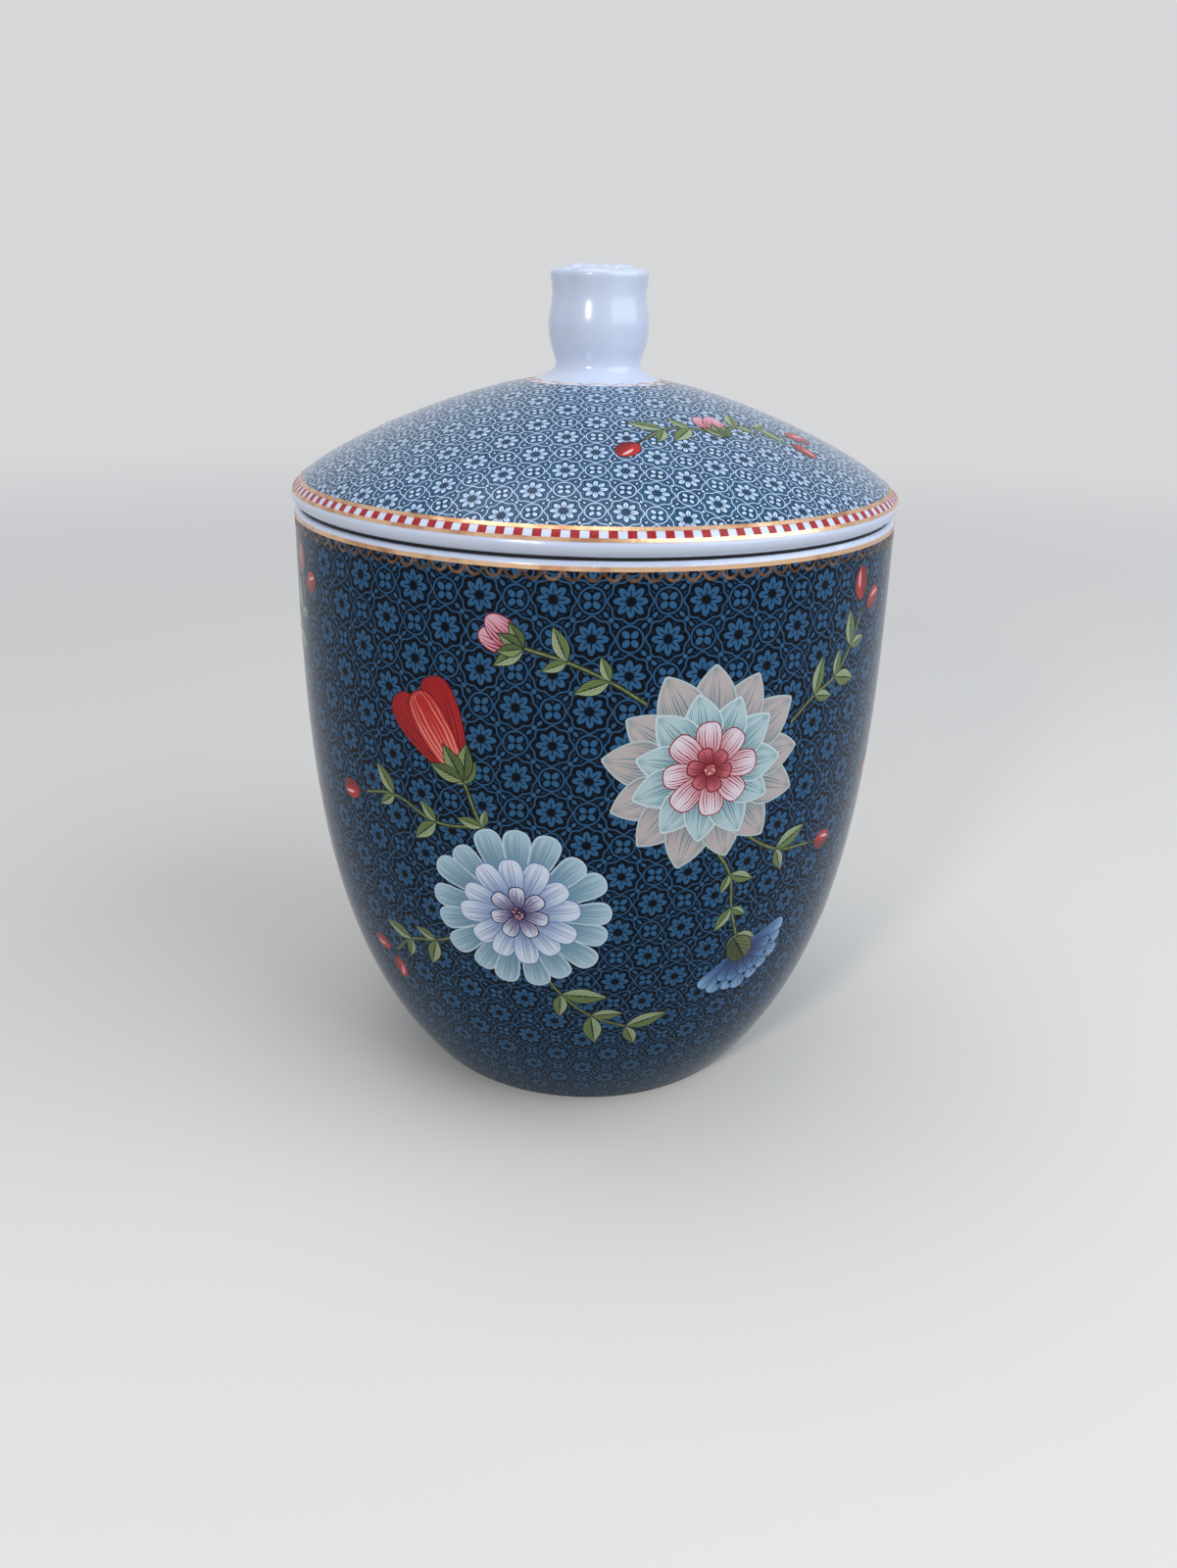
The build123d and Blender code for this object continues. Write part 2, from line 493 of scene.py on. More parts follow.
def berry_ink(tree, body, shade, outline):
    """A printed berry: red, darker down one side, with a pale window and fine strokes."""
    place, across, along = map_place(tree, "UVMap")
    wander = place.noise(6, 2)
    tone = (across + wander * 0.2).above(0.66, 0.2).mix(body, shade)
    beat = abs((across * 11 + wander).maths("FRACT") - 0.5)
    strokes = beat.below(0.16, 0.08) * (along + wander * 0.3).below(0.4, 0.1)
    window = petal_disc(along, across - 0.34, 0.6, 0.17, 0.07).below(0, 0.02)
    tone = window.mix(strokes.mix(tone, shade), (244, 206, 204))
    return outlined(tree, tone, outline, 0.24, wander * 0.06)


def heart_ink(tree, body, dots, outline):
    """A blossom's printed heart, stippled."""
    stipple = tree.nodes.new("ShaderNodeTexVoronoi")
    stipple.inputs["Scale"].default_value = 1150
    plug(object_place(tree), stipple.inputs["Vector"])
    spot = Flow(tree, stipple.outputs["Distance"]).below(0.34, 0.08)
    return outlined(tree, spot.mix(body, dots), outline, 0.2, spot * 0.05 + 0.01)


# Making flat pieces

def deselect():
    if bpy.context.object is not None and bpy.context.object.mode != "OBJECT":
        leave_edit()
    bpy.ops.object.select_all(action="DESELECT")


def choose(*pieces):
    """Makes these pieces the selected ones and the first of them the active one."""
    deselect()
    for piece in pieces:
        piece.select_set(True)
    bpy.context.view_layer.objects.active = pieces[0]


def edit(piece):
    """Opens a piece for editing, with all of it selected."""
    choose(piece)
    bpy.ops.object.mode_set(mode="EDIT")
    all_of_it()


def all_of_it():
    bpy.ops.mesh.select_all(action="SELECT")


def leave_edit():
    bpy.ops.object.mode_set(mode="OBJECT")


def fresh(name):
    """Names the piece that was just made and opens it for editing."""
    piece = bpy.context.object
    piece.name = name
    bpy.ops.object.mode_set(mode="EDIT")
    return piece


def pick(piece, members):
    """Selects just these vertices, in edit mode."""
    shape = bmesh.from_edit_mesh(piece.data)
    for part in (*shape.faces, *shape.edges):
        part.select = False
    for vertex in shape.verts:
        vertex.select = vertex.index in members
    shape.select_flush(True)
    bmesh.update_edit_mesh(piece.data)


def flat_grid(name, width, height, columns, rows, foot=0, lift=0, finish=None):
    """A flat grid in mm, centred on x, standing on y = foot and raised by its lift."""
    deselect()
    bpy.ops.mesh.primitive_grid_add(x_subdivisions=columns, y_subdivisions=rows, size=1)
    piece = fresh(name)
    bpy.ops.transform.resize(value=(width * MM, height * MM, 1))
    bpy.ops.transform.translate(value=(0, (foot + height / 2) * MM, 0))
    leave_edit()
    if finish:
        piece.data.materials.append(finish)
    return moved(piece, lift=lift)


def row_members(piece):
    """The vertices of each row of a fresh grid, from its foot up."""
    rows = {}
    for vertex in bmesh.from_edit_mesh(piece.data).verts:
        rows.setdefault(round(vertex.co.y, 7), set()).add(vertex.index)
    return [rows[height] for height in sorted(rows)]


def printed(piece, ink):
    """Gives a flat piece its ink, and notes how far each of its vertices is in from its outline."""
    leave_edit()
    piece.data.materials.append(ink)
    shape = bmesh.new()
    shape.from_mesh(piece.data)
    rim = [edge.verts for edge in shape.edges if edge.is_boundary]
    starts = np.array([start.co for start, end in rim])
    spans = np.array([end.co - start.co for start, end in rim])
    shape.free()
    points = mesh_points(piece)[:, None, :]
    share = np.sum((points - starts) * spans, axis=2) / np.sum(spans * spans, axis=1)
    nearest = starts + np.clip(share, 0, 1)[:, :, None] * spans
    away = np.linalg.norm(points - nearest, axis=2).min(axis=1)
    layer = piece.data.attributes.new("edge", "FLOAT", "POINT")
    layer.data.foreach_set("value", away / MM)
    return piece


def pointed(share):
    """A petal that swells past its middle and ends in a point."""
    return share, max(0.06, sin(pi * share**0.8) ** 0.75)


def rounded(share):
    """A petal with round ends, wider towards its tip."""
    along = (1 - cos(pi * share)) / 2
    return along, max(0.08, sin(pi * share) ** 0.7 * (0.6 + 0.4 * along))


def strap(share):
    """A long narrow petal with a round tip."""
    along = sin(pi / 2 * share)
    return along, max(0.08, (0.35 + 0.65 * along) * (1 - along**8) ** 0.5)


def willow(share):
    """A leaf, widest a little below its middle."""
    return share, max(0.05, sin(pi * share**0.85))


def oval(share):
    return (1 - cos(pi * share)) / 2, max(0.08, sin(pi * share))


def petal(name, length, width, outline, ink):
    """One petal or leaf on the y axis, its base at the origin."""
    rows = 14
    piece = flat_grid(name, width, length, 6, rows)
    edit(piece)
    for row, vertices in enumerate(row_members(piece)):
        along, across = outline(row / rows)
        pick(piece, vertices)
        bpy.ops.transform.resize(value=(across, 1, 1))
        bpy.ops.transform.translate(value=(0, (along - row / rows) * length * MM, 0))
    return printed(piece, ink)


def notched(piece, depth):
    """Draws alternate points of a petal's tip outwards, as on a cornflower."""
    edit(piece)
    tip = row_members(piece)[-1]
    columns = sorted(tip, key=lambda index: piece.data.vertices[index].co.x)
    pick(piece, set(columns[1::2]))
    bpy.ops.transform.translate(value=(0, depth * MM, 0))
    leave_edit()
    return piece


def flat_disc(name, radius, corners=24):
    """A flat disc in mm, open for editing."""
    deselect()
    bpy.ops.mesh.primitive_circle_add(vertices=corners, radius=radius * MM, fill_type="NGON")
    return fresh(name)


def spot(name, radius, ink, corners=24, rings=3):
    """A round print, with rings enough to bend over the wall."""
    piece = flat_disc(name, radius, corners)
    for ring in range(rings):
        bpy.ops.mesh.inset(thickness=radius / (rings + 1) * MM, depth=0)
    return printed(piece, ink)


def copy_of(piece, name):
    copy = piece.copy()
    copy.data = piece.data.copy()
    copy.name = name
    bpy.context.scene.collection.objects.link(copy)
    return copy


def moved(piece, x=0.0, y=0.0, turn=0.0, lift=0.0, size=1.0):
    """Turns a flat piece about its origin, in degrees, and moves it, in mm, all in its mesh."""
    place = Matrix.Translation((x * MM, y * MM, lift * MM))
    spin = Matrix.Rotation(radians(turn), 4, "Z")
    piece.data.transform(place @ spin @ Matrix.Diagonal((size, size, 1, 1)))
    return piece


def joined(name, pieces):
    """Joins flat pieces into one."""
    choose(*pieces)
    if len(pieces) > 1:
        bpy.ops.object.join()
    piece = bpy.context.object
    piece.name = name
    piece.data.name = name
    return piece


def fan_of(name, pattern, count, reach, start=0.0, spread=360.0):
    """Copies of a petal round a centre, each tilted a little so that it laps over the next."""
    step = spread / count if spread == 360 else spread / (count - 1)
    outwards = Matrix.Translation((0, reach * MM, 0))
    tilt = Matrix.Rotation(-2 * PETAL_TILT * MM / pattern.dimensions.x, 4, "Y")
    copies = []
    for index in range(count):
        copy = copy_of(pattern, f"{name}_{index}")
        copy.data.transform(outwards @ tilt)
        turn = start + index * step + PETAL_STRAY * sin(3.7 * index)
        copies.append(moved(copy, turn=turn, size=1 + PETAL_GROWTH * sin(2.4 * index)))
    bpy.data.objects.remove(pattern)
    return joined(name, copies)


def stem(name, knots, width, ink, lift, depth):
    """A stem along a smooth curve through its knots, in mm, its top at lift and its depth below."""
    deselect()
    bpy.ops.curve.primitive_bezier_curve_add(radius=MM)
    piece = bpy.context.object
    piece.name = name
    line = piece.data.splines[0]
    line.bezier_points.add(len(knots) - 2)
    for knot, (x, y) in zip(line.bezier_points, knots):
        knot.co = (x * MM, y * MM, 0)
        knot.handle_left_type = "AUTO"
        knot.handle_right_type = "AUTO"
    piece.data.bevel_depth = width * MM / 2
    piece.data.bevel_resolution = 1
    piece.data.resolution_u = 9
    piece.data.use_fill_caps = True
    choose(piece)
    bpy.ops.object.convert(target="MESH")
    piece = bpy.context.object
    piece.data.transform(Matrix.Diagonal((1, 1, depth / width, 1)))
    piece.data.materials.append(ink)
    return moved(piece, lift=lift - depth / 2)


# Laying flat pieces on the porcelain

class Wall:
    """A turned outer surface, read from a node's own vertices between two heights."""

    def __init__(self, node, low, high):
        rings = {}
        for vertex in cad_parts[node].data.vertices:
            place = vertex.co
            outward = place.x * vertex.normal.x + place.y * vertex.normal.y
            if outward > 0.05 * hypot(place.x, place.y) and low <= place.z <= high:
                rings[round(place.z, 6)] = hypot(place.x, place.y)
        heights = sorted(rings)
        lengths = [0.0]
        for below, above in zip(heights, heights[1:]):
            lengths.append(lengths[-1] + hypot(rings[above] - rings[below], above - below))
        even = np.linspace(0, lengths[-1], ceil(lengths[-1] / WALL_STEP) + 1)
        self.run = even
        self.radius = np.interp(even, lengths, [rings[height] for height in heights])
        self.height = np.interp(even, lengths, heights)
        self.out = np.gradient(self.height, even)
        self.up = -np.gradient(self.radius, even)

    def run_at(self, height):
        """How far up the wall a height is."""
        return np.interp(height, self.height, self.run)

    def points(self, angle, run, lift):
        """Points at an angle from the front, a way up the wall and a lift square to it."""
        radius = np.interp(run, self.run, self.radius) + lift * np.interp(run, self.run, self.out)
        height = np.interp(run, self.run, self.height) + lift * np.interp(run, self.run, self.up)
        return np.stack([radius * np.sin(angle), -radius * np.cos(angle), height], axis=1)


# The walls that carry print, from just below the lowest print to just above the highest
jar_wall = Wall("jar_body", GROUND_FOOT_Z * 0.8, RIM_Z - 0.4 * MM)
lid_wall = Wall("lid", SEAT_Z + 2.4 * MM, SEAT_Z + 31.2 * MM)

# The jar's flat sheet keeps its shapes as the wall narrows: its y runs slower on a slim wall
JAR_RUN = jar_wall.run
MEAN_RADII = (jar_wall.radius[1:] + jar_wall.radius[:-1]) / 2
JAR_SHEET = np.concatenate([[0], np.cumsum(np.diff(JAR_RUN) * JAR_RADIUS / MEAN_RADII)])
JAR_SHEET_TOP = np.interp(jar_wall.run_at(RIM_Z - GOLD_LINE_TOP * MM), JAR_RUN, JAR_SHEET)
JAR_SHEET_TOP += GOLD_LINE_TOP * MM

# The lid's flat sheet is a disc whose radius is the way down the dome, true at the collar
COLLAR_RUN = np.interp(-COLLAR_RADIUS * MM, -lid_wall.radius, lid_wall.run)
LID_SHEET = COLLAR_RADIUS * MM + COLLAR_RUN - lid_wall.run


def mesh_points(piece):
    flat = np.empty(len(piece.data.vertices) * 3)
    piece.data.vertices.foreach_get("co", flat)
    return flat.reshape(-1, 3)


def set_points(piece, points):
    piece.data.vertices.foreach_set("co", points.ravel())
    piece.data.update()


def note_print(piece, across, up):
    """Keeps each vertex's place on the sheet, in mm, as the map for the ground's pattern."""
    layer = piece.data.uv_layers.new(name="print")
    corners = np.empty(len(piece.data.loops), dtype=np.int32)
    piece.data.loops.foreach_get("vertex_index", corners)
    places = np.stack([across[corners], up[corners]], axis=1) / MM
    layer.uv.foreach_set("vector", places.ravel())


def lay_on_jar(piece):
    """Wraps a flat piece on the jar's outside, its y counted from the rim."""
    x, y, lift = mesh_points(piece).T
    run = np.interp(y + JAR_SHEET_TOP, JAR_SHEET, JAR_RUN)
    set_points(piece, jar_wall.points(x / JAR_RADIUS, run, lift))


def lay_on_lid(piece):
    """Drapes a flat piece on the lid's dome."""
    x, y, lift = mesh_points(piece).T
    away = np.hypot(x, y)
    run = np.interp(-away, -LID_SHEET, lid_wall.run)
    set_points(piece, lid_wall.points(np.arctan2(x, -y), run, lift))


def lay_round_lid(piece):
    """Wraps a flat band on the lid, its x round the lid's edge and its y up from the seat."""
    x, y, lift = mesh_points(piece).T
    run = np.interp(y + SEAT_Z, lid_wall.height, lid_wall.run)
    set_points(piece, lid_wall.points(x / JAR_RADIUS, run, lift))


def thicken(piece, lift, body):
    """Gives a laid print its thickness, down to just under the glaze, and settles it."""
    choose(piece)
    bpy.ops.object.modifier_add(type="SOLIDIFY")
    modifier = piece.modifiers[-1]
    modifier.thickness = (lift + SUNK) * MM
    modifier.offset = -1
    bpy.ops.object.modifier_apply(modifier=modifier.name)
    settle(piece, body)


def settle(piece, body):
    """Smooths a finished piece and ties it to its body."""
    choose(piece)
    bpy.ops.object.shade_smooth_by_angle(angle=SMOOTH_ANGLE)
    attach(piece, body)


def closed_round(piece):
    """Merges the two ends of a band that goes all the way round."""
    edit(piece)
    bpy.ops.mesh.remove_doubles(threshold=0.01 * MM)
    leave_edit()


def extrude(rise):
    bpy.ops.mesh.extrude_region_move(TRANSFORM_OT_translate={"value": (0, 0, rise * MM)})


def face_outwards():
    all_of_it()
    bpy.ops.mesh.normals_make_consistent(inside=False)
    leave_edit()


# Knob, in mm: its radii at each mm from 2 to 20 above the lid's boss, then its whole side as
# heights and radii, and the radii of its top's rings
KNOB_BODY = (
    10.67, 10.98, 11.33, 11.65, 11.91, 12.11, 12.26, 12.35, 12.36, 12.29,
    12.16, 11.99, 11.81, 11.65, 11.53, 11.48, 11.52, 11.65, 11.82,
)
KNOB_SIDE = (
    (-1.6, 11.7), (-1.0, 11.45), (-0.6, 11.2), (-0.25, 10.93), (0.1, 10.72), (0.5, 10.57),
    (1.1, 10.52), *enumerate(KNOB_BODY, 2), (20.7, 11.93), (21.2, 11.95), (21.6, 11.88),
    (21.9, 11.72), (22.1, 11.48),
)
KNOB_TOP = np.linspace(11.25, 0.45, 33)
KNOB_PETALS = 5
KNOB_CORNERS = 180
KNOB_TURN = -96.0


def eased(value):
    """A soft step from 0 to 1."""
    share = np.clip(value, 0, 1)
    return share * share * (3 - 2 * share)


def domed(value):
    """A round shoulder from 0 to 1, steep at its foot."""
    share = np.clip(value, 0, 1)
    return np.sqrt(share * (2 - share))


def peak(value):
    """A smooth peak of height 1 where the value is 0."""
    return np.exp(-(value**2))


def petal_share(turn):
    """0 along the middle of each of the knob's petals and 1 at the seams between them."""
    return np.abs((turn / (tau / KNOB_PETALS) + 0.5) % 1 - 0.5) * 2


def knob_relief(radius, turn):
    """Height of the knob's flower: five broad petals to the rim, five notched ones and a heart."""
    share = petal_share(turn)
    outer_seam = (1 - share) * (pi / KNOB_PETALS) * radius
    inner_seam = share * (pi / KNOB_PETALS) * radius
    broad = 0.78 * domed((11.3 - 0.8 * share**3 - radius) / 3.2)
    broad = broad * (1 - 0.55 * peak(outer_seam / 0.75))
    inner_edge = 8.3 - 0.8 * peak(outer_seam) - 1.1 * peak(inner_seam / 1.4)
    crease = 0.45 * peak(inner_seam / 0.6) * eased((radius - 2.2) / 1.5)
    inner = 0.72 * domed((inner_edge - radius) / 2.2) * (1 - crease)
    dip = 0.4 * peak((radius - 3.1) / 0.8)
    heart = 0.1 * domed((2.4 - radius) / 1.5)
    return broad + inner - dip + heart


def moulded_knob(finish):
    """The knob: a waisted side with five soft lobes and a low flower on its top."""
    height, radius = KNOB_SIDE[0]
    piece = flat_disc("moulded_knob", radius, KNOB_CORNERS)
    bpy.ops.transform.translate(value=(0, 0, KNOB_SEAT_Z + height * MM))
    rim_height = KNOB_SIDE[-1][0]
    rings = [*KNOB_SIDE[1:], *((rim_height, radius) for radius in KNOB_TOP)]
    for next_height, next_radius in rings:
        extrude(next_height - height)
        share = next_radius / radius
        bpy.ops.transform.resize(value=(share, share, 1), center_override=(0, 0, 0))
        height, radius = next_height, next_radius
    bpy.ops.mesh.merge(type="CENTER")
    face_outwards()
    x, y, z = mesh_points(piece).T
    away = np.hypot(x, y) / MM
    turn = np.arctan2(y, x) - radians(KNOB_TURN)
    up = (z - KNOB_SEAT_Z) / MM
    depth = 0.28 * eased(up / 9) + 0.35 * eased((up - 17) / 4)
    lobe = eased(petal_share(turn) * 1.25 - 0.25) ** 2
    share = 1 - depth * lobe / np.maximum(away, 1) * eased(away / 6)
    on_top = (up > rim_height - 0.01) & (away < KNOB_TOP[0] + 0.01)
    lift = np.where(on_top, knob_relief(away, turn), 0)
    set_points(piece, np.stack([x * share, y * share, z + lift * MM], axis=1))
    piece.data.materials.append(finish)
    choose(piece)
    bpy.ops.object.shade_smooth()
    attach(piece, "lid")
    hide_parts("knob")


# Grounds and bands

def jar_grounds(finish):
    """The printed ground of the jar, in equal panels whose pattern runs on from one to the next."""
    top = -(GOLD_LINE_TOP + GOLD_LINE_FOOT) / 2
    foot = (np.interp(jar_wall.run_at(GROUND_FOOT_Z), JAR_RUN, JAR_SHEET) - JAR_SHEET_TOP) / MM
    width = ROUND / JAR_PANELS
    for index in range(JAR_PANELS):
        name = f"jar_ground_{index + 1}"
        piece = flat_grid(name, width, top - foot, 40, 76, foot, GROUND_LIFT, finish)
        moved(piece, x=(index + 0.5) * width)
        across, up, lift = mesh_points(piece).T
        note_print(piece, across, up)
        lay_on_jar(piece)
        thicken(piece, GROUND_LIFT, "jar")


def lid_grounds(finish):
    """The printed ground of the lid, a flat sheet cut in sectors and draped on the dome."""
    inner = COLLAR_RADIUS + 0.6
    edge_z = SEAT_Z + (LID_CHECK_TOP + LID_LINE_TOP) / 2 * MM
    outer = np.interp(edge_z, lid_wall.height, LID_SHEET) / MM
    for index in range(LID_PANELS):
        name = f"lid_ground_{index + 1}"
        piece = flat_grid(name, 1, outer - inner, 44, 40, inner, GROUND_LIFT, finish)
        x, away, lift = mesh_points(piece).T
        angle = (index + 0.5 + x / MM) * tau / LID_PANELS
        across = away * np.sin(angle)
        up = -away * np.cos(angle)
        set_points(piece, np.stack([across, up, lift], axis=1))
        note_print(piece, across, up)
        edit(piece)
        bpy.ops.mesh.flip_normals()
        leave_edit()
        lay_on_lid(piece)
        thicken(piece, GROUND_LIFT, "lid")


def gold_line(name, foot, top, lay, body, finish):
    """A gold line all the way round, in mm up the sheet."""
    piece = flat_grid(name, ROUND, top - foot, 300, 2, foot, GOLD_LIFT, finish)
    lay(piece)
    closed_round(piece)
    thicken(piece, GOLD_LIFT, body)


def repeated(piece, count):
    """Repeats a flat piece along x, all the way round."""
    choose(piece)
    bpy.ops.object.modifier_add(type="ARRAY")
    modifier = piece.modifiers[-1]
    modifier.use_relative_offset = False
    modifier.use_constant_offset = True
    modifier.constant_offset_displace = (ROUND / count * MM, 0, 0)
    modifier.count = count
    bpy.ops.object.modifier_apply(modifier=modifier.name)


def gold_lace(finish):
    """Small hanging loops of gold under the jar's gold line."""
    pitch = ROUND / LACE_COUNT
    drop = LACE_FOOT - GOLD_LINE_FOOT + LACE_LAP
    piece = flat_disc("jar_gold_lace", pitch / 2)
    bpy.ops.mesh.inset(thickness=LACE_LINE * MM, depth=0)
    bpy.ops.mesh.delete(type="FACE")
    all_of_it()
    bpy.ops.mesh.bisect(plane_co=(0, 0, 0), plane_no=(0, 1, 0), clear_outer=True)
    all_of_it()
    bpy.ops.transform.resize(value=(1, drop / (pitch / 2), 1), center_override=(0, 0, 0))
    leave_edit()
    moved(piece, y=-GOLD_LINE_FOOT + LACE_LAP, lift=LACE_LIFT)
    piece.data.materials.append(finish)
    repeated(piece, LACE_COUNT)
    lay_on_jar(piece)
    thicken(piece, LACE_LIFT, "jar")


def check_band(finish):
    """Red checks on the lid's white edge, lapping a little under its gold lines."""
    width = ROUND / CHECK_COUNT * CHECK_SHARE
    foot, top = LID_CHECK_FOOT - CHECK_LAP, LID_CHECK_TOP + CHECK_LAP
    piece = flat_grid("lid_checks", width, top - foot, 3, 2, foot, GROUND_LIFT, finish)
    repeated(piece, CHECK_COUNT)
    lay_round_lid(piece)
    thicken(piece, GROUND_LIFT, "lid")


def collar_arches(finish):
    """Small gold arches, with a bead where they meet, along the lid's white collar."""
    pieces = []
    for index in range(COLLAR_ARCHES):
        knots = []
        for share in (-0.5, -0.36, -0.18, 0, 0.18, 0.36, 0.5):
            angle = (index + share) * tau / COLLAR_ARCHES
            away = ARCH_FOOT - ARCH_HEIGHT * (1 - (2 * share) ** 2) ** 0.7
            knots.append((away * sin(angle), -away * cos(angle)))
        lift = GROUND_LIFT + 0.05
        pieces.append(stem(f"arch_{index}", knots, ARCH_WIDTH, finish, lift, ARCH_DEPTH))
        bead = spot(f"arch_bead_{index}", ARCH_BEAD_RADIUS, finish, corners=10, rings=1)
        edit(bead)
        extrude(-ARCH_BEAD_DEPTH)
        face_outwards()
        pieces.append(moved(bead, *knots[0], lift=lift + 0.02))
    piece = joined("lid_collar_arches", pieces)
    lay_on_lid(piece)
    settle(piece, "lid")


# Flowers, each drawn at the sheet's origin

def blossom(name, tiers, heart_radius, heart):
    """Petals in tiers. A tier is its count, reach, length, width, outline, ink and start."""
    pieces = []
    for level, (count, reach, length, width, outline, ink, start) in enumerate(tiers):
        pattern = petal(f"{name}_petal", length, width, outline, ink)
        tier = fan_of(f"{name}_tier_{level}", pattern, count, reach, start)
        pieces.append(moved(tier, lift=level * TIER_STEP))
    centre = spot(f"{name}_heart", heart_radius, heart)
    pieces.append(moved(centre, lift=len(tiers) * TIER_STEP))
    return joined(name, pieces)


def dahlia():
    """A wide blossom: dusty pink and aqua pointed petals round a red and white heart."""
    dusty_colours = ((168, 160, 160), (196, 184, 180), (104, 138, 144), (186, 208, 206))
    dusty = petal_ink("dusty_pink", *dusty_colours)
    aqua = petal_ink("aqua", (136, 172, 178), (186, 210, 212), (92, 132, 142), (214, 228, 228))
    blush = petal_ink("blush", (216, 150, 158), (236, 224, 230), (172, 66, 78), (156, 40, 54), 9)
    crimson = petal_ink("crimson", (132, 18, 34), (206, 104, 116), (120, 14, 30), (112, 14, 26), 7)
    heart = finish_of("dahlia_heart", heart_ink, (190, 84, 92), (240, 220, 190), (96, 10, 22))
    tiers = (
        (13, 9.0, 15.0, 11.0, pointed, dusty, 0),
        (11, 5.0, 13.0, 9.4, pointed, aqua, 12),
        (8, 2.0, 9.4, 7.6, rounded, blush, 5),
        (6, 0.6, 4.9, 4.6, rounded, crimson, 20),
    )
    return blossom("dahlia", tiers, 1.5, heart)


def daisy():
    """A pale blue blossom of long petals round a navy and white heart."""
    ice = petal_ink("ice", (132, 166, 186), (180, 208, 220), (96, 140, 158), (206, 226, 234))
    frost = petal_ink("frost", (150, 180, 214), (224, 234, 246), (92, 112, 168), (110, 140, 186))
    lilac = petal_ink("lilac", (120, 104, 150), (222, 224, 240), (52, 44, 96), (34, 32, 76), 7)
    heart = finish_of("daisy_heart", heart_ink, (40, 38, 82), (226, 150, 160), (22, 22, 56))
    tiers = (
        (17, 7.0, 15.5, 8.4, strap, ice, 0),
        (12, 4.0, 11.0, 7.6, rounded, frost, 8),
        (7, 1.2, 6.4, 5.2, rounded, lilac, 3),
    )
    return blossom("daisy", tiers, 1.9, heart)


def tulip(sepal):
    """A red tulip that points up from its stem."""
    scarlet = petal_ink("scarlet", (198, 34, 34), (176, 22, 30), (126, 10, 22), (104, 10, 20), 9)
    flame = petal_ink("flame", (214, 52, 44), (196, 34, 34), (236, 140, 126), (110, 12, 22), 8)
    petals = ((15, 23, 11.5, scarlet), (-15, 23, 11.5, scarlet), (0, 21, 11, flame))
    pieces = []
    for level, (turn, length, width, ink) in enumerate(petals):
        piece = petal(f"tulip_petal_{level}", length, width, rounded, ink)
        pieces.append(moved(piece, turn=turn, lift=level * TIER_STEP))
    pattern = petal("tulip_sepal", 9.5, 4.2, willow, sepal)
    sepals = fan_of("tulip_sepals", pattern, 3, 0, -38, 76)
    pieces.append(moved(sepals, y=-1.5, lift=len(petals) * TIER_STEP))
    return joined("tulip", pieces)


def cornflower(sepal):
    """A blue cornflower seen from its side, its notched petals fanned out from a scaly cup."""
    sky = petal_ink("sky", (82, 128, 178), (142, 184, 220), (40, 78, 128), (24, 50, 92), 7)
    deep = petal_ink("deep_sky", (50, 84, 138), (104, 150, 198), (26, 48, 92), (18, 36, 74), 7)
    back = notched(petal("cornflower_back", 12, 6.2, strap, sky), 1.5)
    front = notched(petal("cornflower_front", 9, 5.2, strap, deep), 1.3)
    pieces = [
        fan_of("cornflower_outer", back, 9, 3.4, -74, 148),
        moved(fan_of("cornflower_inner", front, 6, 2.4, -52, 104), lift=TIER_STEP),
        moved(petal("cornflower_cup", 9.5, 8, oval, sepal), y=-4.6, lift=2 * TIER_STEP),
    ]
    return joined("cornflower", pieces)


def bud(sepal):
    """A pink bud in three sepals."""
    pink = petal_ink("pink", (206, 96, 116), (232, 176, 188), (160, 44, 70), (120, 22, 44), 7)
    sepals = petal("bud_sepal", 6.5, 3.2, willow, sepal)
    pieces = [
        moved(petal("bud_petal_left", 9.5, 6, oval, pink), turn=13),
        moved(petal("bud_petal_right", 9.5, 6, oval, pink), turn=-13, lift=TIER_STEP),
        moved(fan_of("bud_sepals", sepals, 3, 0, -34, 68), y=-1, lift=2 * TIER_STEP),
    ]
    return joined("bud", pieces)


# Bouquets: a sprig is its knots, the size of its leaves and the berries at its end, and a flower is
# where it stands on the sheet and its turn

JAR_SPRIGS = (
    (((12, -30), (4, -25), (-5, -21), (-14, -18.5)), 0.75, 0),
    (((48, -38), (55, -33), (62, -30), (68, -24), (72, -17)), 0.85, 2),
    (((-30, -92), (-40, -97), (-49, -100), (-57, -107)), 0.9, 2),
    (((-12, -98), (-6, -108), (2, -116), (12, -121)), 1.15, 0),
    (((-18, -68), (-24, -61), (-28, -51)), 0.6, 0),
    (((-24, -61), (-36, -62), (-48, -58), (-58, -60)), 0.8, 1),
    (((30, -66), (35, -74), (37, -84), (40, -93)), 0.7, 0),
    (((33, -60), (48, -70), (60, -72)), 0.95, 1),
)
JAR_FLOWERS = {
    "dahlia": (27, -46, 0),
    "daisy": (-16, -83, 0),
    "tulip": (-29, -49, 32),
    "cornflower": (42, -98, -148),
    "bud": (-15, -18.2, 64),
}
BOUQUETS = 3
LID_SPRIGS = (
    (((0, 0), (-7, 3), (-14, 3.5), (-20, 1)), 0.8, 1),
    (((0, 0), (6, 4), (13, 5), (19, 2.5)), 0.75, 2),
)
LID_PLACES = ((29, -37, 30), (-36, 28, 215))


def heading(knots, index):
    """The way a stem points at one of its knots, in degrees from the sheet's y axis."""
    (x0, y0), (x1, y1) = knots[max(0, index - 1)], knots[min(len(knots) - 1, index + 1)]
    return -atan2(x1 - x0, y1 - y0) * 180 / pi


